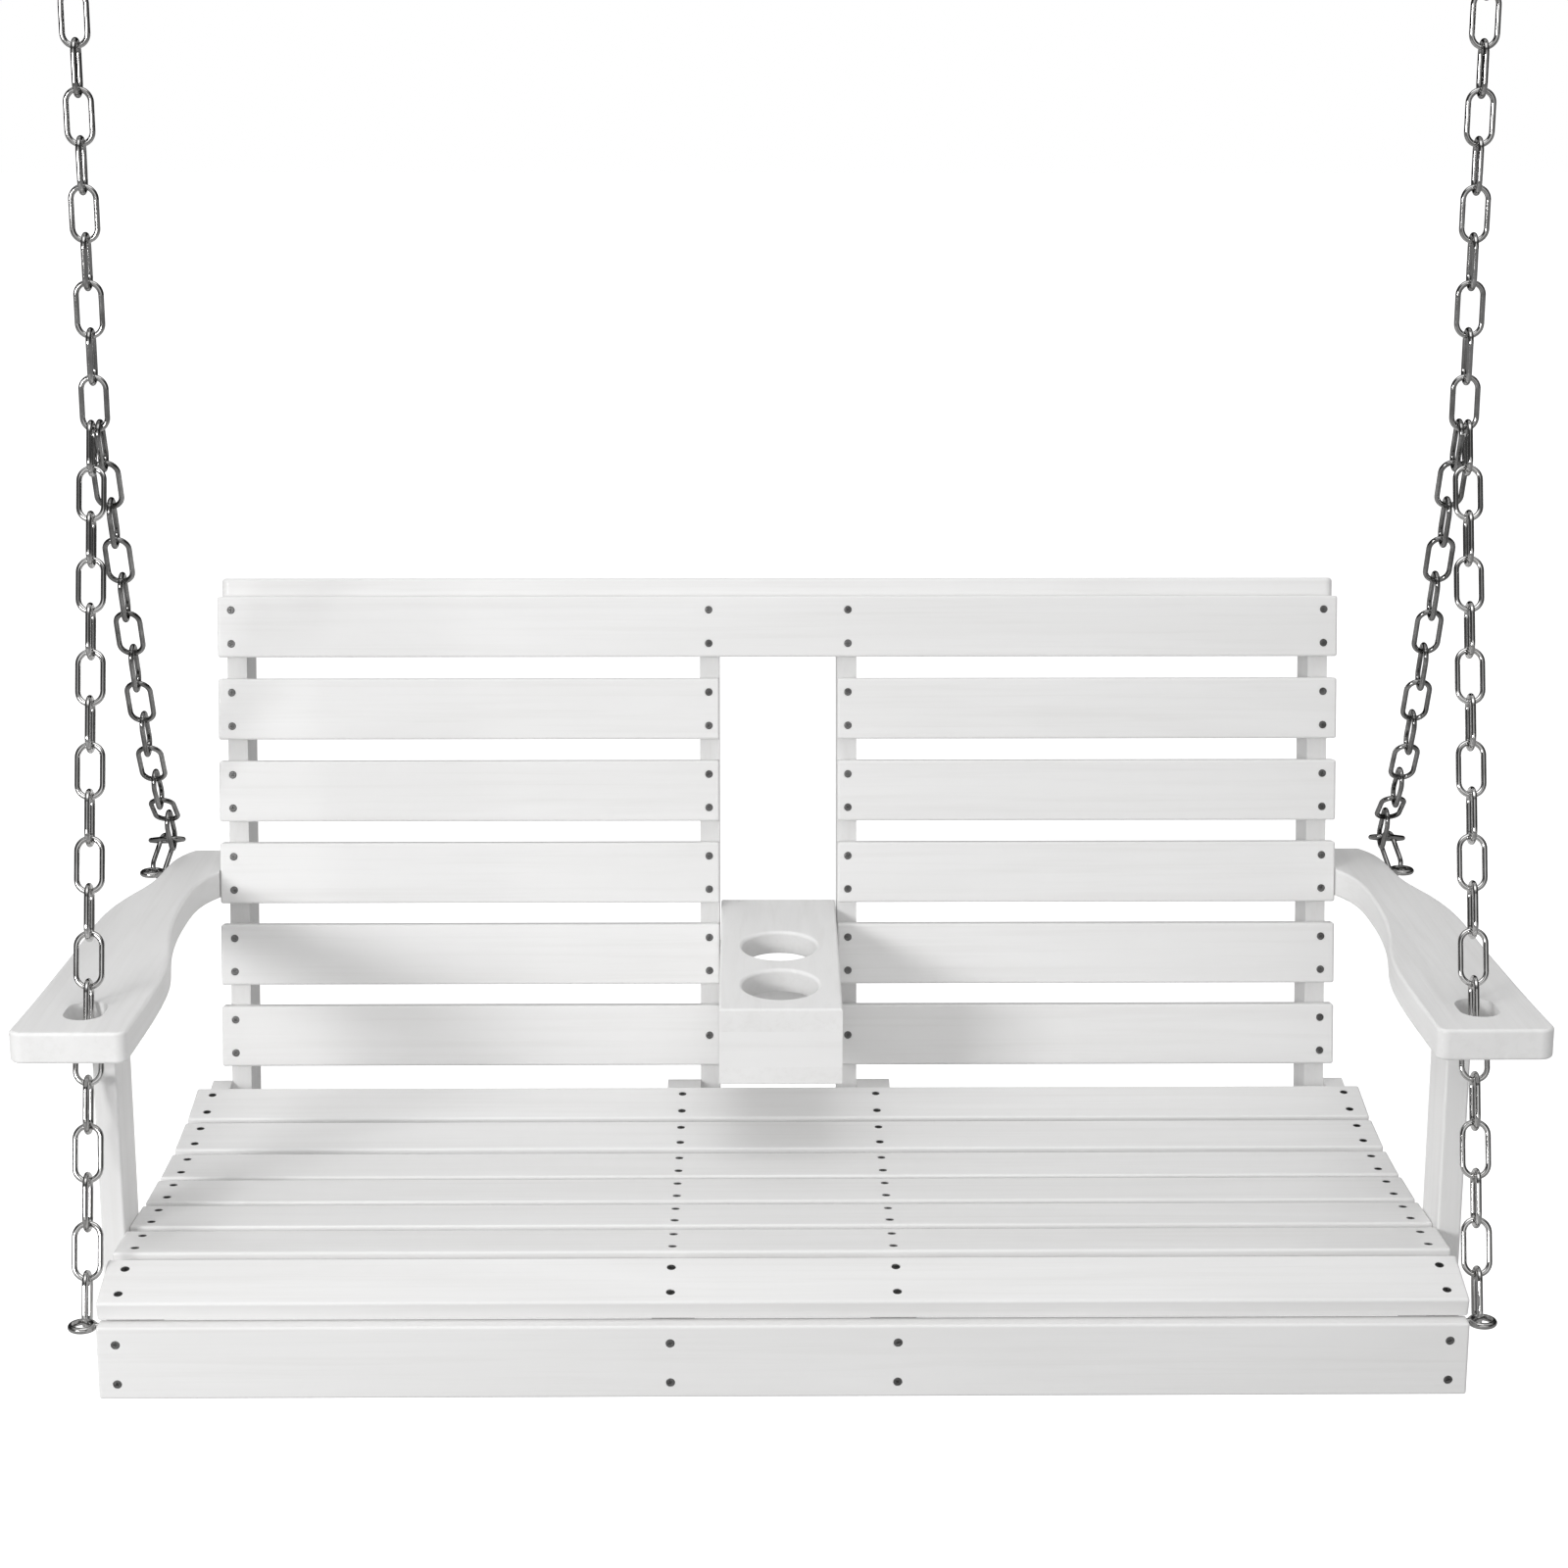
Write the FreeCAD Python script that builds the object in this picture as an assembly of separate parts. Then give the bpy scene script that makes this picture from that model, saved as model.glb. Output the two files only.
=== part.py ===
"""Hanging porch swing seat for two, with a fold-up centre console.

Units are mm.  +Z is up, +X is to the sitter's left seen from the front (the
viewer's right), and the front of the seat looks along -Y.

The seat is drawn in its own frame: Y = 0 is the front face of the apron and
Z = 0 is the apron's lower edge.  On export everything is moved so that the
origin is the middle of the two ceiling hook shanks, in the plane of the ceiling.
"""
import FreeCAD, Part
import math
import os
from FreeCAD import Vector

os.makedirs("parts", exist_ok=True)

# ---------------------------------------------------------------- dimensions
BOARD = 19.0            # thickness of slats, apron and cap
EASE = 2.5              # rounded board edges

# seat
SEAT_LENGTH = 1219.0    # 48 in long slats
SLAT_WIDTH = 64.0       # 2 1/2 in slats
SEAT_SLATS = (          # centre of each top face (Y, Z) and its rise to the rear, front to rear
    (39.5, 96.0, 15.5),
    (121.0, 100.5, -4.0),
    (199.0, 94.5, -4.0),
    (277.0, 89.0, -2.0),
    (353.0, 86.0, 0.0),
    (430.0, 88.5, 5.0),
    (505.0, 96.5, 10.0),
)
OUTER_RAIL = (582.5, 602.5)     # inner and outer face, distance from the middle
INNER_RAIL = (83.0, 118.0)
RAIL_REAR_TOP = (592.0, 91.0)   # where the rail's top starts to round down
RAIL_REAR_END = 652.0
RAIL_CORNER = (646.0, 66.0)
APRON_HEIGHT = 68.5
APRON_LENGTH = 1217.0
SEAT_SCREW_X = (591.5, 101.0)
SCREW_PITCH = 35.3      # the two screws of one crossing
APRON_SCREW_Z = (14.5, 52.0)

# back
BACK_TILT = 10.45       # lean to the rear, degrees
BACK_DATUM = (663.7, 586.9)     # top screw row on the slats' front face (Y, Z)
BACK_ROWS = 6
BACK_ROW_PITCH = 86.6
BACK_TOP_MARGIN = 14.35         # first screw row to the upper edge of the top slat
BACK_LENGTH = 1179.0
BACK_GAP = 124.4        # centre gap that the console folds into
OUTER_UPRIGHT = (562.0, 582.5)
INNER_UPRIGHT = (62.5, 83.0)
UPRIGHT_DEPTH = 64.0
UPRIGHT_FOOT_Z = 6.0
BACK_SCREW_X = (575.0, 73.3)
CAP_LENGTH = 1176.0
CAP_DEPTH = 64.0

# arms
ARM_TOP_Z = 317.0
ARM_THICK = 29.0
ARM_SLOT = (632.5, 139.0, 37.0, 54.0)   # centre X, centre Y, width, length
POST_INNER_X = 609.5
POST_THICK = 22.0
POST_FRONT_Y = 148.0
POST_DEPTH = 67.0
POST_FOOT_Z = 12.0

# console
CONSOLE_SLOPE = 5.0     # top falls towards the front, degrees
CONSOLE_REAR_TOP = (650.0, 274.3)
CONSOLE_LENGTH = 301.0
CONSOLE_WIDTH = 121.6
CONSOLE_TOP_THICK = 24.0
CONSOLE_SIDE_HEIGHT = 38.0
CONSOLE_BOTTOM_THICK = 19.0
CONSOLE_BOTTOM_START = 45.0     # the bottom board stops short of the rear
CONSOLE_BOARD = 19.0
CUP_HOLE_RADIUS = 38.5
CUP_HOLE_RIM = 3.5
CUP_HOLES_FROM_FRONT = (64.5, 167.5)
PIVOT_FROM_REAR = 18.0
PIVOT_BELOW_TOP = 43.75
PIVOT_RADIUS = 4.0
PIVOT_CLEARANCE = 0.4

# chain and its hardware
WIRE = 5.2
LINK_INNER_WIDTH = 18.0
LINK_PLAY = 0.4
LINK_PITCH = 43.75
UPPER_LINKS = 10
FRONT_LINKS = 19
CHAIN_X = 642.5         # hanging line of each upper chain
CHAIN_Y = 360.0
JUNCTION_OFFSET = 3.6   # two chains share the junction link, side by side
JUNCTION_LIFT = 6.23    # centre to centre of crossing wires at that offset
SAG_LINKS = 12          # these sag in one curve; three slack links follow
SAG_CURL = 5            # the higher, the nearer its foot the curve bends
SLACK_HANG = -53.6      # direction of the first slack link, degrees from +Y towards +Z
SLACK_WRAPS = (35.0, -57.2)     # how far round its crown each link above bears
SLACK_TURNS = (54.2, 120.3)     # how far each link below turns from where it bears
SLACK_PLAY = 0.1        # the last one hangs askew on its ring
RING_RADIUS = 10.3
RING_WIRE = 6.0
EYE_SHANK_RADIUS = 3.2
FRONT_EYE = (625.5, 26.6)       # ring centre (X, Y)
FRONT_EYE_Z = 58.5
FRONT_EYE_LINK_X = 623.5        # where the last link goes round the ring
REAR_EYE = (668.6, 653.1, 304.0)        # ring centre
HOOK_WIRE = 10.0
HOOK_RADIUS = 17.0
HOOK_SHANK_RADIUS = 4.5
HOOK_SHANK_LENGTH = 60.0
HOOK_NECK = 12.0
HOOK_SWEEP = 285.0      # degrees of bend from the neck round to the tip
HOOK_FLANGE_RADIUS = 16.0
HOOK_FLANGE_THICK = 4.0

# fasteners
SCREW_HEAD_RADIUS = 4.1
SCREW_HEAD_HEIGHT = 2.6
SCREW_SHANK_RADIUS = 2.1
SCREW_LENGTH = 31.0
BOLT_RADIUS = 4.0
BOLT_HEAD_RADIUS = 9.0
BOLT_HEAD_HEIGHT = 4.0
NUT_RADIUS = 7.4
NUT_HEIGHT = 6.5

SIDES = (("left", -1), ("right", 1))


# ---------------------------------------------------------------- helpers
def yz_unit(angle):
    """Unit vector in the YZ plane, angle in degrees from +Y towards +Z."""
    a = math.radians(angle)
    return Vector(0, math.cos(a), math.sin(a))


def placement(origin, x_dir, y_dir, z_dir):
    """Placement whose local axes are the three given unit vectors."""
    m = FreeCAD.Matrix(x_dir.x, y_dir.x, z_dir.x, origin.x,
                       x_dir.y, y_dir.y, z_dir.y, origin.y,
                       x_dir.z, y_dir.z, z_dir.z, origin.z,
                       0, 0, 0, 1)
    return FreeCAD.Placement(m)


def mirrored(shape, side):
    """The shape itself on the +X side, its mirror image on the -X side."""
    if side > 0:
        return shape
    return shape.mirror(Vector(0, 0, 0), Vector(1, 0, 0))


def eased_box(x0, x1, width, thick, ease=EASE):
    """Board along X, centred on Y, top face at Z = 0, with all its edges rounded."""
    box = Part.makeBox(x1 - x0, width, thick, Vector(x0, -width / 2, -thick))
    return box.makeFillet(ease, box.Edges)


def prism(points, x0, x1):
    """Closed YZ polygon drawn out from x0 to x1."""
    corners = [Vector(x0, y, z) for y, z in points]
    face = Part.Face(Part.makePolygon(corners + corners[:1]))
    return face.extrude(Vector(x1 - x0, 0, 0))


def rod(start, direction, length, radius):
    return Part.makeCylinder(radius, length, start, direction)


def hexagon(start, direction, height, radius):
    """Hexagonal nut, radius over its corners, drawn along X."""
    corners = []
    for k in range(7):
        a = math.radians(60 * k)
        corners.append(start + Vector(0, radius * math.cos(a), radius * math.sin(a)))
    return Part.Face(Part.makePolygon(corners)).extrude(direction * height)


def export(name, solids):
    """Move from the seat's frame to the ceiling origin and write one node."""
    shape = solids if isinstance(solids, Part.Shape) else Part.makeCompound(solids)
    shape = shape.copy()
    shape.translate(Vector(0, -CHAIN_Y, -CEILING_Z))
    shape.exportStep("parts/" + name + ".step")


# ---------------------------------------------------------------- fasteners
def screw(point, outward):
    """Round-headed wood screw; point is on the board's face, head sunk flush."""
    head = rod(point - outward * SCREW_HEAD_HEIGHT, outward, SCREW_HEAD_HEIGHT, SCREW_HEAD_RADIUS)
    shank = rod(point - outward * SCREW_LENGTH, outward, SCREW_LENGTH, SCREW_SHANK_RADIUS)
    return head.fuse(shank).removeSplitter()


def bolt(start_x, end_x, y, z, side):
    """Dome-headed bolt along X: head outside start_x, hexagonal nut inside end_x."""
    out = Vector(side, 0, 0)
    start = Vector(side * start_x, y, z)
    end = Vector(side * end_x, y, z)
    head = rod(start, out, BOLT_HEAD_HEIGHT, BOLT_HEAD_RADIUS)
    rim = head.Edges[0]
    for edge in head.Edges:
        if edge.BoundBox.XLength < 1e-6 and abs(edge.BoundBox.Center.x) > abs(start.x) + 1:
            rim = edge
    head = head.makeFillet(BOLT_HEAD_HEIGHT * 0.9, [rim])
    shank = rod(end - out * (NUT_HEIGHT + 2), out, start_x - end_x + NUT_HEIGHT + 2, BOLT_RADIUS)
    nut = hexagon(end - out * NUT_HEIGHT, out, NUT_HEIGHT, NUT_RADIUS)
    return head.fuse([shank, nut]).removeSplitter()


# ---------------------------------------------------------------- seat
def seat_axes(index):
    """Centre of a seat slat's top face, its rearward direction and its normal."""
    y, z, rise = SEAT_SLATS[index]
    return Vector(0, y, z), yz_unit(rise), yz_unit(rise + 90)


def seat_screws(index):
    centre, rearward, normal = seat_axes(index)
    found = []
    for x in SEAT_SCREW_X:
        for sign in (-1, 1):
            for half in (-SCREW_PITCH / 2, SCREW_PITCH / 2):
                found.append(screw(centre + rearward * half + Vector(sign * x, 0, 0), normal))
    return found


def seat_slat(index):
    centre, rearward, normal = seat_axes(index)
    board = eased_box(-SEAT_LENGTH / 2, SEAT_LENGTH / 2, SLAT_WIDTH, BOARD)
    board.Placement = placement(centre, Vector(1, 0, 0), rearward, normal)
    return board.cut(seat_screws(index))


def rail_profile():
    """The rail's outline: its top follows the underside of the slats."""
    top = []
    for index in range(len(SEAT_SLATS)):
        centre, rearward, normal = seat_axes(index)
        under = centre - normal * BOARD
        for half in (-SLAT_WIDTH / 2, SLAT_WIDTH / 2):
            corner = under + rearward * half
            top.append((corner.y, corner.z))
    first, second = top[0], top[1]
    slope = (second[1] - first[1]) / (second[0] - first[0])
    start = (BOARD, first[1] + slope * (BOARD - first[0]))
    outline = [(BOARD, 0.0), start] + top[1:]
    outline += [RAIL_REAR_TOP, RAIL_CORNER, (RAIL_REAR_END, 52.0), (RAIL_REAR_END, 8.0)]
    outline.append((RAIL_REAR_END - 8.0, 0.0))
    return outline


def seat_rail(faces, side, cutters):
    blank = prism(rail_profile(), faces[0], faces[1])
    return mirrored(blank, side).cut(cutters)


def apron_screws():
    found = []
    for x in SEAT_SCREW_X:
        for sign in (-1, 1):
            for z in APRON_SCREW_Z:
                found.append(screw(Vector(sign * x, 0, z), Vector(0, -1, 0)))
    return found


def apron(cutters):
    board = eased_box(-APRON_LENGTH / 2, APRON_LENGTH / 2, APRON_HEIGHT, BOARD)
    middle = Vector(0, 0, APRON_HEIGHT / 2)
    board.Placement = placement(middle, Vector(1, 0, 0), Vector(0, 0, 1), Vector(0, -1, 0))
    return board.cut(cutters)


# ---------------------------------------------------------------- back
BACK_UP = yz_unit(90 - BACK_TILT)
BACK_REAR = yz_unit(-BACK_TILT)
BACK_ORIGIN = Vector(0, BACK_DATUM[0], BACK_DATUM[1])


def back_point(down, deep, x=0.0):
    """Point of the back: down from the first screw row, deep behind the slats' front."""
    return BACK_ORIGIN - BACK_UP * down + BACK_REAR * deep + Vector(x, 0, 0)


def back_row_middle(row):
    return SCREW_PITCH / 2 + BACK_ROW_PITCH * row


def back_board(row, x0, x1, cutters):
    board = eased_box(x0, x1, SLAT_WIDTH, BOARD)
    middle = back_point(back_row_middle(row), 0)
    board.Placement = placement(middle, Vector(1, 0, 0), BACK_UP, BACK_REAR * -1)
    return board.cut(cutters)


def back_screws(row):
    """Two screws a crossing; the lowest row has one at its inner ends."""
    found = []
    for x in BACK_SCREW_X:
        pair = (-SCREW_PITCH / 2, SCREW_PITCH / 2)
        if row == BACK_ROWS - 1 and x < 100:
            pair = (0.0,)
        for sign in (-1, 1):
            for half in pair:
                point = back_point(back_row_middle(row) + half, 0, sign * x)
                found.append(screw(point, BACK_REAR * -1))
    return found


def upright(faces, side, cutters):
    """Upright on edge behind the slats, cut level at its foot."""
    top = -BACK_TOP_MARGIN
    front_top = back_point(top, BOARD)
    rear_top = back_point(top, BOARD + UPRIGHT_DEPTH)
    slope = BACK_UP.y / BACK_UP.z
    front_foot = front_top.y - (front_top.z - UPRIGHT_FOOT_Z) * slope
    rear_foot = rear_top.y - (rear_top.z - UPRIGHT_FOOT_Z) * slope
    outline = [(front_foot, UPRIGHT_FOOT_Z), (front_top.y, front_top.z),
               (rear_top.y, rear_top.z), (rear_foot, UPRIGHT_FOOT_Z)]
    return mirrored(prism(outline, faces[0], faces[1]), side).cut(cutters)


def back_cap():
    """Board lying across the tops of the uprights, behind the top slat."""
    half = CAP_LENGTH / 2
    board = Part.makeBox(CAP_LENGTH, CAP_DEPTH, BOARD, Vector(-half, 0, 0))
    upright_edges = [e for e in board.Edges if e.BoundBox.ZLength > BOARD / 2]
    board = board.makeFillet(8.0, upright_edges)
    top_edges = [e for e in board.Edges if e.BoundBox.ZMin > BOARD - 0.01]
    board = board.makeFillet(4.0, top_edges)
    corner = back_point(-BACK_TOP_MARGIN, BOARD)
    board.Placement = placement(corner, Vector(1, 0, 0), BACK_REAR, BACK_UP)
    return board


# ---------------------------------------------------------------- arms
def spline(points):
    curve = Part.BSplineCurve()
    curve.interpolate([Vector(x, y, 0) for x, y in points])
    return curve.toShape()


def arm_outline():
    """Plan outline of the right arm, a paddle that narrows towards the back."""
    outer = ((690.0, 91.0), (684.5, 250.0), (682.5, 360.0), (680.0, 450.0),
             (669.0, 515.0), (655.0, 568.0), (650.0, 615.0), (645.0, 664.0), (632.0, 696.0))
    inner = ((590.0, 608.0), (603.0, 570.0), (607.0, 520.0), (605.5, 440.0),
             (597.0, 365.0), (586.0, 300.0), (582.0, 240.0), (584.0, 86.0))
    upright_face = OUTER_UPRIGHT[1]
    rear = outer[-1][1]
    edges = [spline(outer)]
    straight = [outer[-1], (upright_face, rear), (upright_face, 636.0), (590.0, 636.0), inner[0]]
    for a, b in zip(straight, straight[1:]):
        edges.append(Part.makeLine(Vector(a[0], a[1], 0), Vector(b[0], b[1], 0)))
    edges.append(spline(inner))
    front = [(584.0, 86.0), (587.0, 78.0), (594.0, 75.0), (677.0, 75.0), (687.0, 80.0), outer[0]]
    corner_1 = Part.Arc(*[Vector(x, y, 0) for x, y in front[:3]]).toShape()
    corner_2 = Part.Arc(*[Vector(x, y, 0) for x, y in front[3:]]).toShape()
    nose = Part.makeLine(Vector(*front[2], 0), Vector(*front[3], 0))
    return Part.Wire(Part.__sortEdges__(edges + [corner_1, nose, corner_2]))


def armrest(side, cutters):
    blank = Part.Face(arm_outline()).extrude(Vector(0, 0, ARM_THICK))
    rims = []
    for edge in blank.Edges:
        if edge.BoundBox.ZLength < 0.01 and edge.BoundBox.YMin < 600:
            rims.append(edge)
    blank = blank.makeFillet(3.0, rims)
    x, y, width, length = ARM_SLOT
    radius = width / 2
    straight = length / 2 - radius
    slot = Part.makeBox(width, 2 * straight, ARM_THICK, Vector(x - radius, y - straight, 0))
    for end in (-straight, straight):
        slot = slot.fuse(rod(Vector(x, y + end, 0), Vector(0, 0, 1), ARM_THICK, radius))
    blank = blank.cut(slot.removeSplitter())
    blank.translate(Vector(0, 0, ARM_TOP_Z - ARM_THICK))
    return mirrored(blank, side).cut(cutters)


def arm_post(side, cutters):
    top = ARM_TOP_Z - ARM_THICK
    blank = Part.makeBox(POST_THICK, POST_DEPTH, top - POST_FOOT_Z,
                         Vector(POST_INNER_X, POST_FRONT_Y, POST_FOOT_Z))
    long_edges = [e for e in blank.Edges if e.BoundBox.ZLength > 50]
    blank = blank.makeFillet(EASE, long_edges)
    return mirrored(blank, side).cut(cutters)


# ---------------------------------------------------------------- console
CONSOLE_FORWARD = yz_unit(180 + CONSOLE_SLOPE)
CONSOLE_UP = yz_unit(90 + CONSOLE_SLOPE)
CONSOLE_ORIGIN = Vector(0, CONSOLE_REAR_TOP[0], CONSOLE_REAR_TOP[1])
CONSOLE_HEIGHT = CONSOLE_TOP_THICK + CONSOLE_SIDE_HEIGHT + CONSOLE_BOTTOM_THICK


def console_point(forward, below):
    return CONSOLE_ORIGIN + CONSOLE_FORWARD * forward - CONSOLE_UP * below


def console_box(x0, x1, a0, a1, h0, h1):
    """Box in the console's frame: a runs forward from the rear, h down from the top."""
    box = Part.makeBox(x1 - x0, a1 - a0, h1 - h0, Vector(x0, a0, -h1))
    return box


def console_placed(shape):
    """Local +Y runs forward and local +Z up, so local +X runs to the -X side."""
    shape.Placement = placement(CONSOLE_ORIGIN, Vector(-1, 0, 0), CONSOLE_FORWARD, CONSOLE_UP)
    return shape


def console_top():
    half = CONSOLE_WIDTH / 2
    board = console_box(-half, half, 0, CONSOLE_LENGTH, 0, CONSOLE_TOP_THICK)
    rounded = [e for e in board.Edges if e.BoundBox.ZMin > -0.01]
    board = board.makeFillet(EASE, rounded)
    for from_front in CUP_HOLES_FROM_FRONT:
        y = CONSOLE_LENGTH - from_front
        start = Vector(0, y, -CONSOLE_TOP_THICK)
        board = board.cut(rod(start, Vector(0, 0, 1), CONSOLE_TOP_THICK, CUP_HOLE_RADIUS))
    rims = []
    for edge in board.Edges:
        circle = isinstance(edge.Curve, Part.Circle) and edge.Curve.Radius > CUP_HOLE_RADIUS - 1
        if circle and edge.BoundBox.ZMin > -0.01:
            rims.append(edge)
    return console_placed(board.makeFillet(CUP_HOLE_RIM, rims))


def console_bottom():
    half = CONSOLE_WIDTH / 2
    top = CONSOLE_TOP_THICK + CONSOLE_SIDE_HEIGHT
    board = console_box(-half, half, CONSOLE_BOTTOM_START, CONSOLE_LENGTH, top, CONSOLE_HEIGHT)
    rounded = [e for e in board.Edges if e.BoundBox.ZMax < 0.01 - CONSOLE_HEIGHT]
    return console_placed(board.makeFillet(EASE, rounded))


def console_front():
    half = CONSOLE_WIDTH / 2
    top = CONSOLE_TOP_THICK
    start = CONSOLE_LENGTH - CONSOLE_BOARD
    board = console_box(-half, half, start, CONSOLE_LENGTH, top, top + CONSOLE_SIDE_HEIGHT)
    return console_placed(board)


def console_side(side, cutter):
    half = CONSOLE_WIDTH / 2
    top = CONSOLE_TOP_THICK
    x0, x1 = sorted((-side * half, -side * (half - CONSOLE_BOARD)))
    length = CONSOLE_LENGTH - CONSOLE_BOARD
    board = console_placed(console_box(x0, x1, 0, length, top, top + CONSOLE_SIDE_HEIGHT))
    return board.cut(cutter)


def pivot_bolt(side):
    """Bolt through the inner upright and the console's side, nut inside the console."""
    pivot = console_point(PIVOT_FROM_REAR, PIVOT_BELOW_TOP)
    nut_face = CONSOLE_WIDTH / 2 - CONSOLE_BOARD - 0.6
    return bolt(INNER_UPRIGHT[1], nut_face, pivot.y, pivot.z, side)


def pivot_bore(side):
    pivot = console_point(PIVOT_FROM_REAR, PIVOT_BELOW_TOP)
    half = CONSOLE_WIDTH / 2 + 1
    start = Vector(side * half, pivot.y, pivot.z)
    return rod(start, Vector(-side, 0, 0), CONSOLE_BOARD + 2, PIVOT_RADIUS + PIVOT_CLEARANCE)


# ---------------------------------------------------------------- chain
LINK_LENGTH = LINK_PITCH + WIRE + LINK_PLAY     # between the centre lines of the two crowns
CROWN_RADIUS = (LINK_INNER_WIDTH + WIRE) / 2


def straight_link():
    """One welded link round a stadium in the XZ plane, centred on the origin."""
    leg = LINK_LENGTH / 2 - CROWN_RADIUS
    r = CROWN_RADIUS
    path = Part.Wire([
        Part.makeLine(Vector(r, 0, -leg), Vector(r, 0, leg)),
        Part.Arc(Vector(r, 0, leg), Vector(0, 0, leg + r), Vector(-r, 0, leg)).toShape(),
        Part.makeLine(Vector(-r, 0, leg), Vector(-r, 0, -leg)),
        Part.Arc(Vector(-r, 0, -leg), Vector(0, 0, -leg - r), Vector(r, 0, -leg)).toShape(),
    ])
    ring = Part.makeCircle(WIRE / 2, Vector(r, 0, -leg), Vector(0, 0, 1))
    return path.makePipeShell([Part.Wire(ring)], True, False)


def placed_link(upper, lower, width_dir):
    """A link whose upper and lower contact points are given."""
    axis = (upper - lower).normalize()
    side_dir = (width_dir - axis * width_dir.dot(axis)).normalize()
    normal = axis.cross(side_dir)
    link = straight_link()
    link.Placement = placement((upper + lower) / 2, side_dir, normal, axis)
    return link


def edge_on(direction):
    """Width direction of a link that stands across X."""
    return direction.cross(Vector(1, 0, 0))


def chain(contacts, first_edge_on):
    """Links between successive contact points, alternately edge-on and flat-on."""
    links = []
    across = first_edge_on
    for upper, lower in zip(contacts, contacts[1:]):
        width_dir = edge_on(lower - upper) if across else Vector(1, 0, 0)
        links.append(placed_link(upper, lower, width_dir))
        across = not across
    return links


def straight_contacts(start, direction, count):
    return [start + direction * (LINK_PITCH * k) for k in range(count + 1)]


def front_drop():
    """Height of the junction above the front eye, from the length of the front chain."""
    crowns = (FRONT_LINKS - 1) * LINK_PITCH + LINK_LENGTH
    span = crowns - JUNCTION_LIFT - (RING_WIRE + WIRE) / 2 - LINK_PLAY
    across = CHAIN_X + JUNCTION_OFFSET - FRONT_EYE_LINK_X
    along = CHAIN_Y - front_ring_y()
    return math.sqrt(span ** 2 - across ** 2 - along ** 2)


def front_ring_y():
    """Where the front chain's last link goes round the rear of the ring."""
    offset = FRONT_EYE[0] - FRONT_EYE_LINK_X
    return FRONT_EYE[1] + math.sqrt(RING_RADIUS ** 2 - offset ** 2)


JUNCTION_Z = FRONT_EYE_Z + front_drop()         # wire where the lower chains hang
JUNCTION_SAG = CROWN_RADIUS - math.sqrt(CROWN_RADIUS ** 2 - JUNCTION_OFFSET ** 2)
HALF_CROSSING = (WIRE + LINK_PLAY) / 2
HOOK_LIFT = (HOOK_WIRE + WIRE) / 2 + LINK_PLAY
EYE_LIFT = (RING_WIRE + WIRE) / 2 + LINK_PLAY    # last link's crown to the ring's wire
HOOK_Z = JUNCTION_Z - JUNCTION_SAG + UPPER_LINKS * LINK_PITCH + 2 * HALF_CROSSING - HOOK_LIFT
CEILING_Z = HOOK_Z + 2 * HOOK_RADIUS + HOOK_NECK + HOOK_FLANGE_THICK


def upper_chain(side):
    lowest = JUNCTION_Z - JUNCTION_SAG - HALF_CROSSING
    start = Vector(CHAIN_X, CHAIN_Y, lowest + UPPER_LINKS * LINK_PITCH)
    start.z += 2 * HALF_CROSSING
    contacts = straight_contacts(start, Vector(0, 0, -1), UPPER_LINKS)
    return [mirrored(link, side) for link in chain(contacts, True)]


def front_chain(side):
    junction = Vector(CHAIN_X + JUNCTION_OFFSET, CHAIN_Y, JUNCTION_Z)
    ring = Vector(FRONT_EYE_LINK_X, front_ring_y(), FRONT_EYE_Z)
    direction = (ring - junction).normalize()
    start = junction - direction * (JUNCTION_LIFT - HALF_CROSSING)
    contacts = straight_contacts(start, direction, FRONT_LINKS)
    return [mirrored(link, side) for link in chain(contacts, True)]


def curl_sums(curl):
    """Turn of each link when the last one turns by about curl, and their sines' and cosines' sums."""
    turns = [curl * ((k + 0.5) / SAG_LINKS) ** SAG_CURL for k in range(SAG_LINKS)]
    return turns, sum(map(math.sin, turns)), sum(map(math.cos, turns))


def rear_sag(start, end):
    """Contact points of the sagging part, which hangs below the chord from start to end."""
    chord = end - start
    low, high = 0.0, math.pi
    for _ in range(60):
        curl = (low + high) / 2
        turns, sines, cosines = curl_sums(curl)
        if math.hypot(sines, cosines) * LINK_PITCH > chord.Length:
            low = curl
        else:
            high = curl
    lean = math.atan2(sines, cosines)
    along = Vector(chord).normalize()
    sag = along.cross(Vector(1, 0, 0)).normalize()
    if sag.z > 0:
        sag = sag * -1
    points = [start]
    for turn in turns:
        step = along * math.cos(lean - turn) + sag * math.sin(lean - turn)
        points.append(points[-1] + step * LINK_PITCH)
    return points


def turned(first, second, angle):
    """The pair of perpendicular unit vectors, turned from first towards second."""
    a = math.radians(angle)
    return first * math.cos(a) + second * math.sin(a), second * math.cos(a) - first * math.sin(a)


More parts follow.
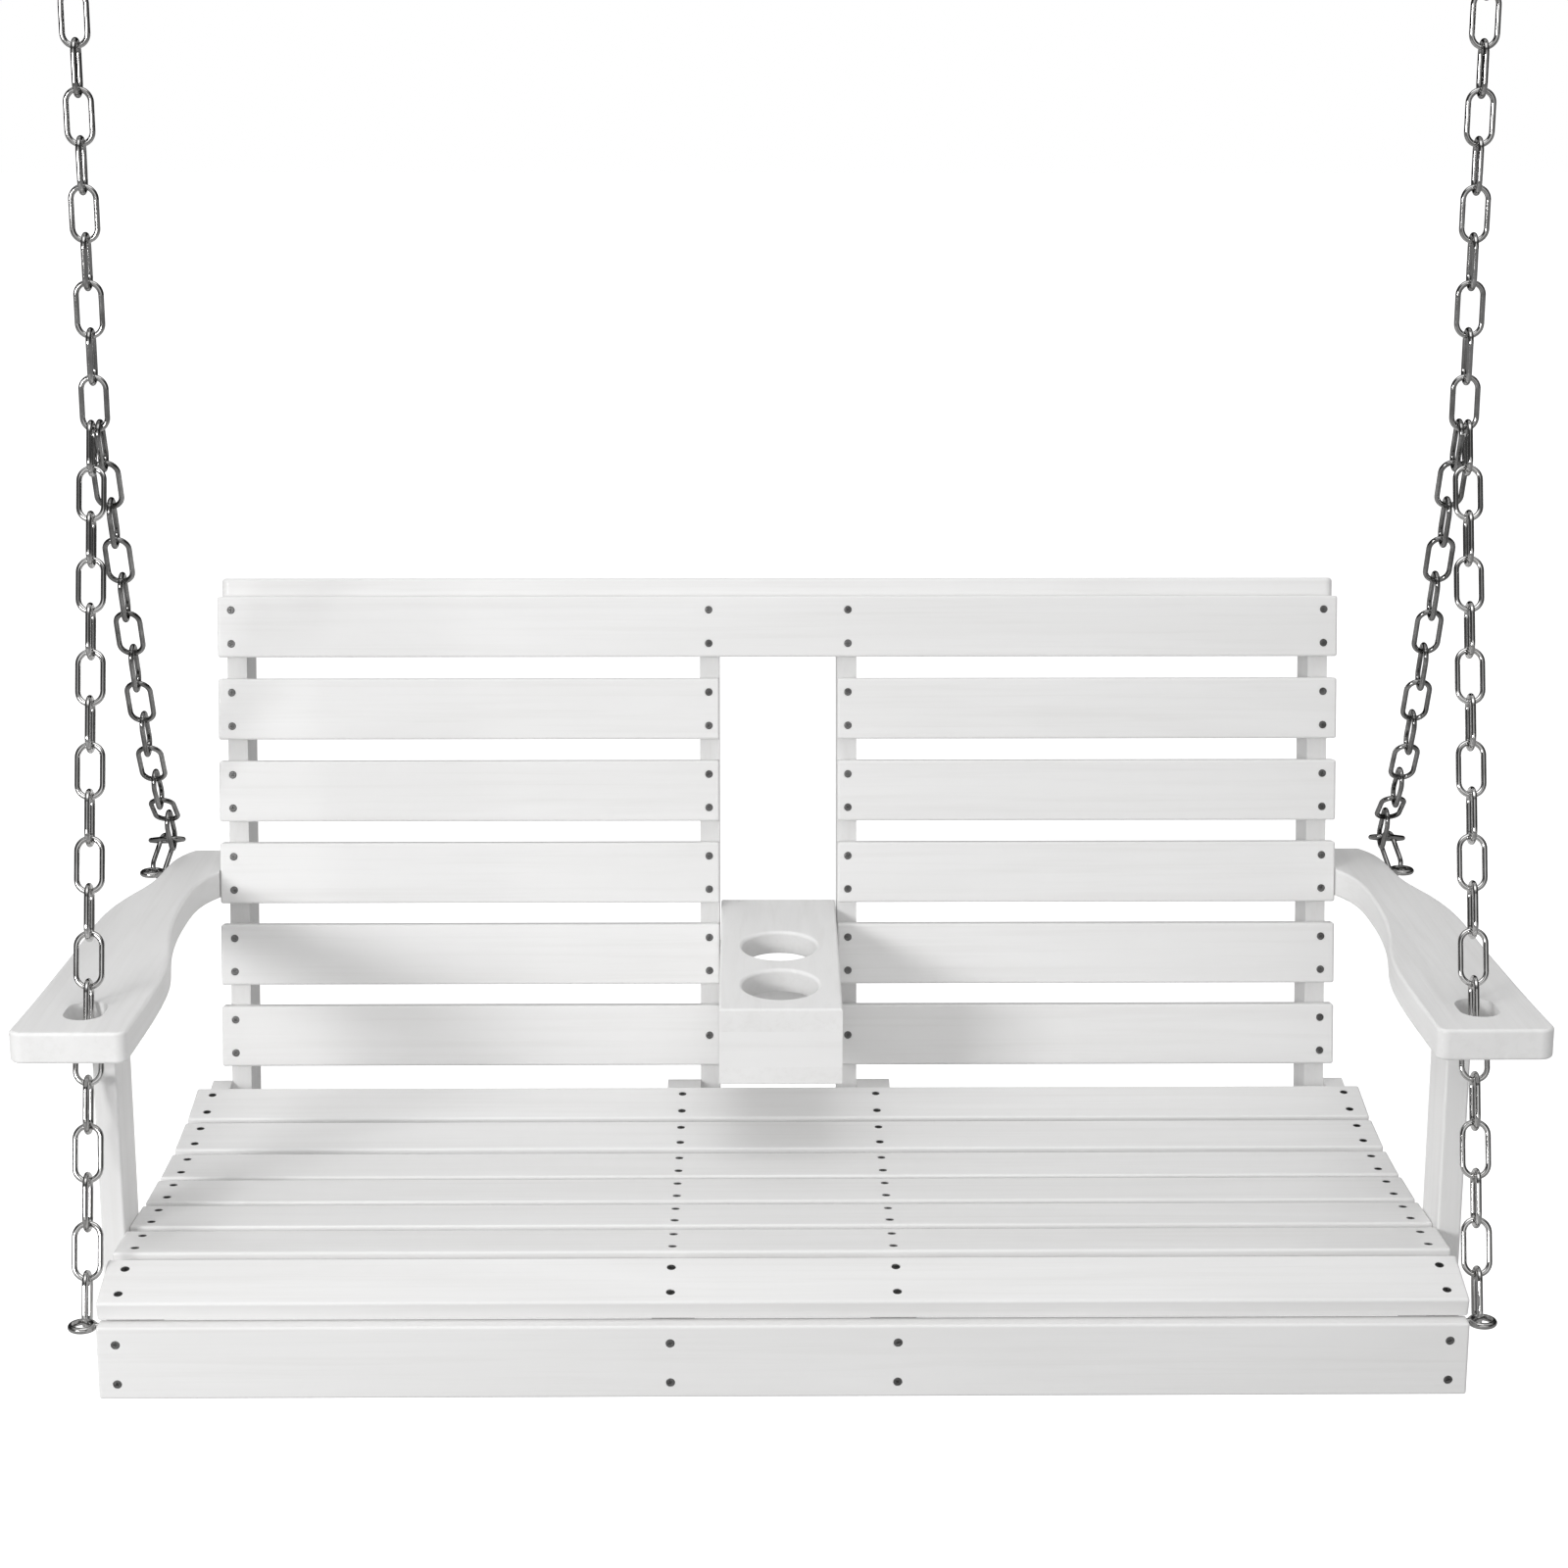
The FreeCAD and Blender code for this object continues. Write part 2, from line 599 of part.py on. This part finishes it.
def slack_links():
    """The last three links of a rear chain, worked back from the wire of the eye's ring.

    Returns them and the wire of the link above, which the first of them hangs on.
    """
    crossing = 2 * HALF_CROSSING
    across = Vector(1, 0, 0)
    first = yz_unit(SLACK_HANG)
    first_width = across.cross(first)
    bearing, tangent = turned(first, first_width, SLACK_WRAPS[0])
    second = turned(across, bearing, SLACK_TURNS[0])[0]
    second_width = second.cross(tangent)
    next_bearing, next_tangent = turned(second, second_width, SLACK_WRAPS[1])
    third = turned(next_bearing, second.cross(second_width), SLACK_TURNS[1])[0]

    ring_out = Vector(next_tangent.y, -next_tangent.x, 0).normalize()
    if ring_out.dot(third) > 0:
        ring_out = ring_out * -1
    third_low = Vector(*REAR_EYE) + ring_out * RING_RADIUS + third * (EYE_LIFT + SLACK_PLAY)
    third_high = third_low - third * LINK_LENGTH
    crown = third_high + third * crossing - next_bearing * CROWN_RADIUS
    second_low = crown + second * CROWN_RADIUS
    second_high = second_low - second * LINK_LENGTH
    crown = second_high + second * crossing - bearing * CROWN_RADIUS
    first_low = crown + first * CROWN_RADIUS
    first_high = first_low - first * LINK_LENGTH
    links = [
        placed_link(first_high, first_low, first_width),
        placed_link(second_high, second_low, second_width),
        placed_link(third_high, third_low, third.cross(next_tangent)),
    ]
    return links, first_high + first * crossing


def rear_chain(side):
    junction = Vector(CHAIN_X - JUNCTION_OFFSET, CHAIN_Y, JUNCTION_Z)
    slack, wire = slack_links()
    first = (wire - junction).normalize()
    last = Vector(first)
    for _ in range(4):
        start = junction - first * (JUNCTION_LIFT - HALF_CROSSING)
        contacts = rear_sag(start, wire - last * HALF_CROSSING)
        first = (contacts[1] - contacts[0]).normalize()
        last = (contacts[-1] - contacts[-2]).normalize()
    return [mirrored(link, side) for link in chain(contacts, True) + slack]


def eye_bolt(centre, through_x, side):
    """Ring lying level, with its shank along X through the frame to a nut."""
    x, y, z = centre
    ring = Part.makeTorus(RING_RADIUS, RING_WIRE / 2, Vector(x, y, z), Vector(0, 0, 1))
    reach = x - RING_RADIUS - through_x + NUT_HEIGHT + 3
    shank = rod(Vector(x - RING_RADIUS, y, z), Vector(-1, 0, 0), reach, EYE_SHANK_RADIUS)
    nut = hexagon(Vector(through_x, y, z), Vector(-1, 0, 0), NUT_HEIGHT, NUT_RADIUS)
    return mirrored(ring.fuse([shank, nut]).removeSplitter(), side)


def ceiling_hook(side):
    """Screw hook: the hanging wire crosses along X so that the link on it swings."""
    centre = Vector(0, 0, HOOK_Z + HOOK_RADIUS)
    section = Part.Face(Part.Wire(Part.makeCircle(
        HOOK_WIRE / 2, centre + Vector(0, 0, HOOK_RADIUS), Vector(1, 0, 0))))
    bend = section.revolve(centre, Vector(0, -1, 0), HOOK_SWEEP)
    top = centre + Vector(0, 0, HOOK_RADIUS)
    knee = Part.makeSphere(HOOK_WIRE / 2, top)
    end = math.radians(90 + HOOK_SWEEP)
    tip = Part.makeSphere(HOOK_WIRE / 2, centre + Vector(math.cos(end), 0, math.sin(end)) * HOOK_RADIUS)
    neck = rod(top, Vector(0, 0, 1), HOOK_NECK, HOOK_WIRE / 2)
    flange = rod(top + Vector(0, 0, HOOK_NECK), Vector(0, 0, 1), HOOK_FLANGE_THICK, HOOK_FLANGE_RADIUS)
    shank = rod(Vector(0, 0, CEILING_Z), Vector(0, 0, 1), HOOK_SHANK_LENGTH, HOOK_SHANK_RADIUS)
    whole = knee.fuse([bend, tip, neck, flange, shank]).removeSplitter()
    whole.translate(Vector(side * CHAIN_X, CHAIN_Y, 0))
    return whole


# ---------------------------------------------------------------- bolts
def frame_bolts(side):
    """Two bolts hold each upright against the inner face of its rail."""
    found = []
    for rail, post in ((OUTER_RAIL, OUTER_UPRIGHT), (INNER_RAIL, INNER_UPRIGHT)):
        for y, z in ((606.0, 28.0), (622.0, 58.0)):
            found.append(bolt(rail[1], post[0], y, z, side))
    return found


def post_bolts(side):
    """Two bolts hold each arm post to the outer rail."""
    found = []
    for y, z in ((163.0, 28.0), (196.0, 52.0)):
        found.append(bolt(POST_INNER_X + POST_THICK, OUTER_RAIL[0], y, z, side))
    return found


# ---------------------------------------------------------------- build
slat_screws = []
for number in range(len(SEAT_SLATS)):
    export("seat_slat_%d" % (number + 1), seat_slat(number))
    slat_screws += seat_screws(number)
export("seat_screws", slat_screws)

front_screws = apron_screws()
export("front_apron", apron(front_screws))
export("apron_screws", front_screws)

wall_screws = []
for number in range(BACK_ROWS):
    row_screws = back_screws(number)
    wall_screws += row_screws
    half_length = BACK_LENGTH / 2
    if number == 0:
        export("back_slat_top", back_board(number, -half_length, half_length, row_screws))
        continue
    half_gap = BACK_GAP / 2
    export("back_slat_%d_left" % (number + 1), back_board(number, -half_length, -half_gap, row_screws))
    export("back_slat_%d_right" % (number + 1), back_board(number, half_gap, half_length, row_screws))
export("back_screws", wall_screws)
export("back_cap", back_cap())

all_frame_bolts = []
all_post_bolts = []
pivots = []
for name, sign in SIDES:
    front_eye = eye_bolt((FRONT_EYE[0], FRONT_EYE[1], FRONT_EYE_Z), OUTER_RAIL[0], sign)
    rear_eye = eye_bolt(REAR_EYE, OUTER_UPRIGHT[0], sign)
    export("eye_bolt_front_" + name, front_eye)
    export("eye_bolt_rear_" + name, rear_eye)
    to_frame = frame_bolts(sign)
    to_rail = post_bolts(sign)
    pivot = pivot_bolt(sign)
    all_frame_bolts += to_frame
    all_post_bolts += to_rail
    pivots.append(pivot)
    rail_cutters = slat_screws + front_screws + to_frame + to_rail + [front_eye]
    export("seat_rail_outer_" + name, seat_rail(OUTER_RAIL, sign, rail_cutters))
    export("seat_rail_inner_" + name, seat_rail(INNER_RAIL, sign, rail_cutters))
    upright_cutters = wall_screws + to_frame + [rear_eye, pivot]
    export("upright_outer_" + name, upright(OUTER_UPRIGHT, sign, upright_cutters))
    export("upright_inner_" + name, upright(INNER_UPRIGHT, sign, upright_cutters))
    export("armrest_" + name, armrest(sign, [rear_eye]))
    export("arm_post_" + name, arm_post(sign, to_rail))
    export("console_side_" + name, console_side(sign, pivot_bore(sign)))
    export("upper_chain_" + name, upper_chain(sign))
    export("front_chain_" + name, front_chain(sign))
    export("rear_chain_" + name, rear_chain(sign))
    export("ceiling_hook_" + name, ceiling_hook(sign))
export("frame_bolts", all_frame_bolts)
export("arm_post_bolts", all_post_bolts)
export("console_pivot_bolts", pivots)

export("console_top", console_top())
export("console_bottom", console_bottom())
export("console_front", console_front())
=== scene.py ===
"""Looks of the hanging porch swing seat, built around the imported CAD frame.  Metres, +Z up, front is -Y."""
import math

import bmesh
import bpy
import numpy as np
from mathutils import Matrix, Vector


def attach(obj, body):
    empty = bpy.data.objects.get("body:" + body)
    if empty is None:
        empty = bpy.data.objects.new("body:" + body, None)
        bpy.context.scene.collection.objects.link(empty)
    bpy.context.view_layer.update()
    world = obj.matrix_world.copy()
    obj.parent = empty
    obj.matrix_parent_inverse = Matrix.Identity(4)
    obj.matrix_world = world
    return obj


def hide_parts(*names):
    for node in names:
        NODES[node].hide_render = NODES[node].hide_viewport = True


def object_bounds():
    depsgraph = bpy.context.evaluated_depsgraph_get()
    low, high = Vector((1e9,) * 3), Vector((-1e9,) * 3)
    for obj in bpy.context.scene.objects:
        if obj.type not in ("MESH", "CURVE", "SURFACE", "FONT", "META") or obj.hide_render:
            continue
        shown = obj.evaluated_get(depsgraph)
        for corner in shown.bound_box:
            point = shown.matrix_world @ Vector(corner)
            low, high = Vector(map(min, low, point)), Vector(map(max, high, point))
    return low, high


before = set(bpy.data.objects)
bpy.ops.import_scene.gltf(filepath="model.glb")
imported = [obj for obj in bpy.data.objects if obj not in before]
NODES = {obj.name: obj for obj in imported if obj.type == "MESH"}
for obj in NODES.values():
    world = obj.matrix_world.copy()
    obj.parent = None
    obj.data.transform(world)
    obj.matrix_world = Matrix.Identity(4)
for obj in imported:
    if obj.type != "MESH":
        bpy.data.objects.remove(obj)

CAD_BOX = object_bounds()

# camera: place and turn of the view that the swing is shown from
CAMERA_AT = (-0.0269, -2.9106, -0.1067)
CAMERA_PITCH = math.radians(13.92)      # looks down
CAMERA_YAW = math.radians(-0.590)
CAMERA_ROLL = math.radians(-0.050)
CAMERA_LENS = 71.27                     # mm
SENSOR_WIDTH = 36.0                     # mm

FLOOR_DROP = 0.42                       # floor below the seat's lowest point
FLOOR_SIZE = 60.0
FLOOR_GLOW = 0.60                       # lifts the floor to white where the camera sees it
FLOOR_BOUNCE = 0.45                     # how much light the floor throws back on the swing
AMBIENT = 0.66                          # strength of the light from all round

# area lights: name, place, target, size and watts
LIGHTS = (
    ("key", (-2.3, -3.0, -0.12), (-0.2, 0.2, -1.05), (1.1, 0.7), 62.0),
    ("top", (-0.2, -0.9, 2.3), (0, 0, -1.0), (2.4, 1.8), 20.0),
)


# ------------------------------------------------------------------ node helpers
class Graph:
    """Small helper that adds shader nodes and links them."""

    def __init__(self, tree):
        self.tree = tree
        tree.nodes.clear()

    def add(self, kind, inputs=None, **settings):
        node = self.tree.nodes.new(kind)
        for key, value in settings.items():
            setattr(node, key, value)
        for key, value in (inputs or {}).items():
            socket = node.inputs[key]
            if isinstance(value, bpy.types.NodeSocket):
                self.tree.links.new(value, socket)
            else:
                socket.default_value = value
        return node

    def math(self, operation, a, b=0.0, c=0.0):
        return self.add("ShaderNodeMath", {0: a, 1: b, 2: c}, operation=operation).outputs[0]

    def mix(self, factor, a, b, blend="MIX"):
        node = self.add("ShaderNodeMix", data_type="RGBA", blend_type=blend)
        for socket, value in ((node.inputs[0], factor), (node.inputs[6], a), (node.inputs[7], b)):
            if isinstance(value, bpy.types.NodeSocket):
                self.tree.links.new(value, socket)
            else:
                socket.default_value = value
        return node.outputs[2]

    def ramp(self, factor, stops):
        node = self.add("ShaderNodeValToRGB", {0: factor})
        points = node.color_ramp.elements
        while len(points) < len(stops):
            points.new(0.5)
        for point, (place, colour) in zip(points, stops):
            point.position = place
            point.color = colour
        return node.outputs[0]

    def noise(self, vector, scale, detail=4.0, roughness=0.5, distortion=0.0):
        node = self.add("ShaderNodeTexNoise", {"Vector": vector, "Scale": scale, "Detail": detail,
                                               "Roughness": roughness, "Distortion": distortion})
        return node.outputs[0]

    def bump(self, height, strength, distance, normal=None):
        inputs = {"Height": height, "Strength": strength, "Distance": distance}
        if normal is not None:
            inputs["Normal"] = normal
        return self.add("ShaderNodeBump", inputs).outputs[0]


def grey(level, warm=0.0):
    """Opaque grey; warm takes a little green and more blue away."""
    return (level, level * (1 - warm), level * (1 - 2.5 * warm), 1.0)


def new_material(name):
    material = bpy.data.materials.new(name)
    material.use_nodes = True
    return material, Graph(material.node_tree)


def finish_material(graph, **inputs):
    shader = graph.add("ShaderNodeBsdfPrincipled", inputs)
    graph.add("ShaderNodeOutputMaterial", {"Surface": shader.outputs[0]})


# ------------------------------------------------------------------ materials
GRAIN_SHIFT = 37.0          # moves the grain from board to board so that no two match
GRAIN_AXES = "xyz"


def painted_wood(name, grain_axis):
    """White satin paint over planed softwood; the grain runs along one axis."""
    material, g = new_material(name)
    coords = g.add("ShaderNodeTexCoord").outputs["Object"]
    shift = g.math("MULTIPLY", g.add("ShaderNodeObjectInfo").outputs["Random"], GRAIN_SHIFT)
    offset = g.add("ShaderNodeCombineXYZ", {0: shift, 1: shift, 2: shift}).outputs[0]
    place = g.add("ShaderNodeVectorMath", {0: coords, 1: offset}, operation="ADD").outputs[0]

    def stretched(along, across):
        """Coordinates scaled by so much a metre along and across the grain."""
        scale = [across] * 3
        scale[grain_axis] = along
        return g.add("ShaderNodeMapping", {"Vector": place, "Scale": scale}).outputs[0]

    streaks = g.noise(stretched(3.0, 150.0), 1.0, 6.0, 0.6, 0.4)
    fibres = g.noise(stretched(10.0, 900.0), 1.0, 3.0, 0.6)
    clouds = g.noise(stretched(2.2, 14.0), 1.0, 3.0, 0.55, 0.8)
    brush = g.noise(stretched(1.2, 45.0), 1.0, 2.0, 0.5, 1.2)
    tone = g.ramp(clouds, ((0.32, grey(0.815, 0.004)), (0.68, grey(0.855, 0.002))))
    streak_tone = g.ramp(streaks, ((0.34, grey(0.945, 0.003)), (0.52, grey(1.0))))
    colour = g.mix(0.55, tone, streak_tone, "MULTIPLY")
    rough = g.add("ShaderNodeMapRange", {0: brush, 1: 0.3, 2: 0.7, 3: 0.40, 4: 0.58}).outputs[0]
    normal = g.bump(streaks, 0.35, 0.0005)
    normal = g.bump(fibres, 0.20, 0.0002, normal)
    normal = g.bump(brush, 0.30, 0.0006, normal)
    finish_material(g, **{"Base Color": colour, "Roughness": rough, "Normal": normal,
                          "Specular IOR Level": 0.35, "Coat Weight": 0.05})
    return material


def plated_metal(name, level, roughness, tarnish, grain=260.0):
    """Bright or dull plated steel with faint spots and uneven gloss."""
    material, g = new_material(name)
    coords = g.add("ShaderNodeTexCoord").outputs["Object"]
    spots = g.noise(coords, grain, 4.0, 0.6)
    patches = g.noise(coords, grain * 0.18, 3.0, 0.5)
    colour = g.ramp(patches, ((0.35, grey(level * (1 - tarnish), 0.01)), (0.62, grey(level, 0.004))))
    rough = g.add("ShaderNodeMapRange", {0: spots, 1: 0.3, 2: 0.7,
                                         3: roughness * 0.75, 4: roughness * 1.35}).outputs[0]
    normal = g.bump(spots, 0.05, 0.0002)
    finish_material(g, **{"Base Color": colour, "Metallic": 1.0, "Roughness": rough, "Normal": normal})
    return material


WOOD = [painted_wood("paint_grain_" + axis, number) for number, axis in enumerate(GRAIN_AXES)]
# The front, upper and rear chains are one plated chain; the upper and rear copies are painted darker (lower
# level, more dark patches) as painted shade, not a different metal.
CHAIN_METAL = plated_metal("chain_metal", 0.62, 0.09, 0.25)
UPPER_CHAIN_PAINTED_SHADE_METAL = plated_metal("upper_chain_painted_shade_metal", 0.48, 0.10, 0.35)
REAR_CHAIN_PAINTED_SHADE_METAL = plated_metal("rear_chain_painted_shade_metal", 0.30, 0.13, 0.45)
EYE_METAL = plated_metal("eye_metal", 0.60, 0.20, 0.3)
SCREW_METAL = plated_metal("screw_metal", 0.20, 0.45, 0.4, 700.0)
# The seat screws are the same screws as the apron and back ones, given a near-black level as painted shade
# and dark reflection on their upward-facing heads.
SEAT_SCREW_PAINTED_SHADE_METAL = plated_metal("seat_screw_painted_shade_metal", 0.08, 0.40, 0.4, 700.0)
BOLT_METAL = plated_metal("bolt_metal", 0.55, 0.30, 0.2)

ALONG_Y = ("seat_rail", "armrest", "console_top", "console_bottom", "console_side")
ALONG_Z = ("upright", "arm_post_left", "arm_post_right")


def material_for(node):
    # upper and rear chain runs take the copies painted darker as shade
    if node.startswith("rear_chain"):
        return REAR_CHAIN_PAINTED_SHADE_METAL
    if node.startswith("upper_chain"):
        return UPPER_CHAIN_PAINTED_SHADE_METAL
    if "chain" in node:
        return CHAIN_METAL
    if "hook" in node or "eye_bolt" in node:
        return EYE_METAL
    if "screws" in node:
        return SCREW_METAL
    if "bolts" in node:
        return BOLT_METAL
    if node.startswith(ALONG_Y):
        return WOOD[1]
    if node.startswith(ALONG_Z):
        return WOOD[2]
    return WOOD[0]


for node_name, node_object in NODES.items():
    finish = material_for(node_name)
    for slot in node_object.material_slots:
        slot.material = finish


# ------------------------------------------------------------------ screws
HEAD_RADIUS = 0.0039
HEAD_RECESS = 0.0003        # head lies just under the paint
HEAD_SIDES = 28
HEAD_PROFILE = (            # radius and depth, from the flat face down the countersink
    (HEAD_RADIUS - 0.0007, 0.0),
    (HEAD_RADIUS - 0.0002, 0.00015),
    (HEAD_RADIUS, 0.0006),
    (HEAD_RADIUS * 0.6, 0.0026),
)
CROSS_ARM = 0.0021
CROSS_HALF = 0.00045
CROSS_DEPTH = 0.0011
CROSS_TAPER = 0.55          # size of the recess's floor against its mouth
MERGE_DIGITS = 6            # corners that agree to a micrometre are one point
END_BAND = 1e-4             # points this near a screw's end belong to its end face
SCREW_SETS = (              # node, metal and seed for the turn of its heads
    # the seat screws take the copy painted darker as shade
    ("seat_screws", SEAT_SCREW_PAINTED_SHADE_METAL, 11),
    ("apron_screws", SCREW_METAL, 12),
    ("back_screws", SCREW_METAL, 13),
)


def islands(obj):
    """Vertex positions of each separate piece of a mesh."""
    mesh = obj.data
    count = len(mesh.vertices)
    parent = list(range(count))

    def root(i):
        while parent[i] != i:
            parent[i] = parent[parent[i]]
            i = parent[i]
        return i

    places = np.empty(count * 3)
    mesh.vertices.foreach_get("co", places)
    places = places.reshape(-1, 3)
    keys = {}
    for i, place in enumerate(map(tuple, np.round(places, MERGE_DIGITS))):
        parent[i] = keys.setdefault(place, i)
    for edge in mesh.edges:
        a, b = root(edge.vertices[0]), root(edge.vertices[1])
        if a != b:
            parent[b] = a
    groups = {}
    for i in range(count):
        groups.setdefault(root(i), []).append(i)
    return [places[members] for members in groups.values()]


def screw_axis(points):
    """Centre of the head's outer face and the outward direction of a screw."""
    middle = points.mean(axis=0)
    spread = np.linalg.svd(points - middle, full_matrices=False)[2][0]
    along = (points - middle) @ spread
    across = np.linalg.norm(points - middle - np.outer(along, spread), axis=1)
    high_end = across[along > along.max() - END_BAND].max()
    low_end = across[along < along.min() + END_BAND].max()
    if high_end < low_end:
        spread, along = -spread, -along
    end = points[along > along.max() - END_BAND]
    centre = (end.min(axis=0) + end.max(axis=0)) / 2
    return Vector(centre), Vector(spread)


def cross_outline():
    """Corners of the cross recess."""
    a, w = CROSS_ARM, CROSS_HALF
    return [(a, -w), (a, w), (w, w), (w, a), (-w, a), (-w, w),
            (-a, w), (-a, -w), (-w, -w), (-w, -a), (w, -a), (w, -w)]


def head_template():
    """Flat countersunk head with a rounded rim and a cross recess, facing +Z."""
    bm = bmesh.new()
    rings = []
    for radius, depth in HEAD_PROFILE:
        ring = []
        for k in range(HEAD_SIDES):
            a = 2 * math.pi * k / HEAD_SIDES
            ring.append(bm.verts.new((radius * math.cos(a), radius * math.sin(a), -depth)))
        rings.append(ring)
    for upper, lower in zip(rings, rings[1:]):
        for k in range(HEAD_SIDES):
            n = (k + 1) % HEAD_SIDES
            bm.faces.new((upper[k], lower[k], lower[n], upper[n]))
    bm.faces.new(list(reversed(rings[-1])))
    mouth = [bm.verts.new((x, y, 0)) for x, y in cross_outline()]
    floor = [bm.verts.new((x * CROSS_TAPER, y * CROSS_TAPER, -CROSS_DEPTH)) for x, y in cross_outline()]
    count = len(mouth)
    for k in range(count):
        n = (k + 1) % count
        bm.faces.new((mouth[n], mouth[k], floor[k], floor[n]))
    bm.faces.new(floor)
    rim = [bm.edges.get((rings[0][k], rings[0][(k + 1) % HEAD_SIDES])) for k in range(HEAD_SIDES)]
    lip = [bm.edges.get((mouth[k], mouth[(k + 1) % count])) for k in range(count)]
    bmesh.ops.triangle_fill(bm, edges=rim + lip, use_beauty=True, normal=(0, 0, 1))
    bmesh.ops.recalc_face_normals(bm, faces=bm.faces)
    mesh = bpy.data.meshes.new("head_template")
    bm.to_mesh(mesh)
    bm.free()
    return mesh


def screws(node, metal, seed):
    """Replaces a node of plain screws with detailed heads, each turned its own way."""
    draw = np.random.default_rng(seed)
    template = head_template()
    bm = bmesh.new()
    for points in islands(NODES[node]):
        centre, outward = screw_axis(points)
        turn = outward.to_track_quat("Z", "Y").to_matrix().to_4x4()
        spin = Matrix.Rotation(draw.uniform(0, math.pi / 2), 4, "Z")
        before = len(bm.verts)
        bm.from_mesh(template)
        bm.verts.ensure_lookup_table()
        moved = Matrix.Translation(centre - outward * HEAD_RECESS) @ turn @ spin
        bmesh.ops.transform(bm, matrix=moved, verts=bm.verts[before:])
    mesh = bpy.data.meshes.new(node + "_heads")
    bm.to_mesh(mesh)
    bm.free()
    piece = bpy.data.objects.new(node + "_heads", mesh)
    bpy.context.scene.collection.objects.link(piece)
    mesh.materials.append(metal)
    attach(piece, "seat")
    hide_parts(node)


for screw_node, screw_metal, turn_seed in SCREW_SETS:
    screws(screw_node, screw_metal, turn_seed)


# ------------------------------------------------------------------ floor, lights, camera
def build_floor():
    """Plain floor, white to the camera and darker to the light that bounces off it."""
    low = min(CAD_BOX[0][2], CAD_BOX[1][2])
    bpy.ops.mesh.primitive_plane_add(size=FLOOR_SIZE, location=(0, 0, low - FLOOR_DROP))
    floor = bpy.context.object
    floor.name = "floor"
    material, g = new_material("floor_white")
    coords = g.add("ShaderNodeTexCoord").outputs["Object"]
    tone = g.ramp(g.noise(coords, 3.0), ((0.3, grey(0.90)), (0.7, grey(0.92))))
    pale = g.add("ShaderNodeBsdfPrincipled", {
        "Base Color": tone, "Roughness": 0.9, "Specular IOR Level": 0.1,
        "Emission Color": grey(1.0), "Emission Strength": FLOOR_GLOW}).outputs[0]
    dim = g.add("ShaderNodeBsdfDiffuse", {"Color": grey(FLOOR_BOUNCE)}).outputs[0]
    path = g.add("ShaderNodeLightPath")
    both = g.add("ShaderNodeMixShader", {0: path.outputs["Is Camera Ray"], 1: dim, 2: pale}).outputs[0]
    g.add("ShaderNodeOutputMaterial", {"Surface": both})
    floor.data.materials.append(material)


def build_world():
    """Even white light all round; what bright metal reflects is a darker studio, lit from the front."""
    world = bpy.data.worlds.new("studio")
    world.use_nodes = True
    g = Graph(world.node_tree)
    path = g.add("ShaderNodeLightPath")
    direction = g.add("ShaderNodeTexCoord").outputs["Generated"]
    parts = g.add("ShaderNodeSeparateXYZ", {0: direction})
    depth = g.math("MULTIPLY_ADD", parts.outputs[1], 0.5, 0.5)
    bands = g.ramp(depth, ((0.0, grey(1.0)), (0.07, grey(1.0)), (0.13, grey(0.05)), (0.34, grey(0.02)),
                           (0.42, grey(0.30)), (0.50, grey(0.02)), (0.80, grey(0.01)), (1.0, grey(0.01))))
    above = g.ramp(parts.outputs[2], ((0.62, grey(0.0)), (0.86, grey(0.7))))
    studio = g.mix(1.0, bands, above, "ADD")
    gloss = g.add("ShaderNodeBackground", {"Color": studio, "Strength": 1.0}).outputs[0]
    soft = g.add("ShaderNodeBackground", {"Color": grey(1.0), "Strength": AMBIENT}).outputs[0]
    seen = g.add("ShaderNodeBackground", {"Color": grey(1.0), "Strength": 1.0}).outputs[0]
    lit = g.add("ShaderNodeMixShader", {0: path.outputs["Is Glossy Ray"], 1: soft, 2: gloss}).outputs[0]
    both = g.add("ShaderNodeMixShader", {0: path.outputs["Is Camera Ray"], 1: lit, 2: seen}).outputs[0]
    g.add("ShaderNodeOutputWorld", {"Surface": both})
    bpy.context.scene.world = world


def area_light(name, place, target, size, power):
    light = bpy.data.lights.new(name, "AREA")
    light.shape = "RECTANGLE"
    light.size, light.size_y = size
    light.energy = power
    lamp = bpy.data.objects.new(name, light)
    lamp.location = place
    lamp.rotation_euler = (Vector(target) - Vector(place)).to_track_quat("-Z", "Y").to_euler()
    bpy.context.scene.collection.objects.link(lamp)


def build_camera():
    right = Vector((1, 0, 0))
    ahead = Vector((0, math.cos(CAMERA_PITCH), -math.sin(CAMERA_PITCH)))
    down = Vector((0, -math.sin(CAMERA_PITCH), -math.cos(CAMERA_PITCH)))
    yaw = Matrix.Rotation(CAMERA_YAW, 3, "Z")
    right, ahead, down = yaw @ right, yaw @ ahead, yaw @ down
    across = right * math.cos(CAMERA_ROLL) + down * math.sin(CAMERA_ROLL)
    below = down * math.cos(CAMERA_ROLL) - right * math.sin(CAMERA_ROLL)
    turn = Matrix((across, -below, -ahead)).transposed()
    data = bpy.data.cameras.new("view")
    data.sensor_width = SENSOR_WIDTH
    data.lens = CAMERA_LENS
    camera = bpy.data.objects.new("view", data)
    camera.matrix_world = Matrix.Translation(CAMERA_AT) @ turn.to_4x4()
    bpy.context.scene.collection.objects.link(camera)
    bpy.context.scene.camera = camera


build_floor()
build_world()
for light_settings in LIGHTS:
    area_light(*light_settings)
build_camera()
bpy.context.scene.view_settings.view_transform = "Standard"
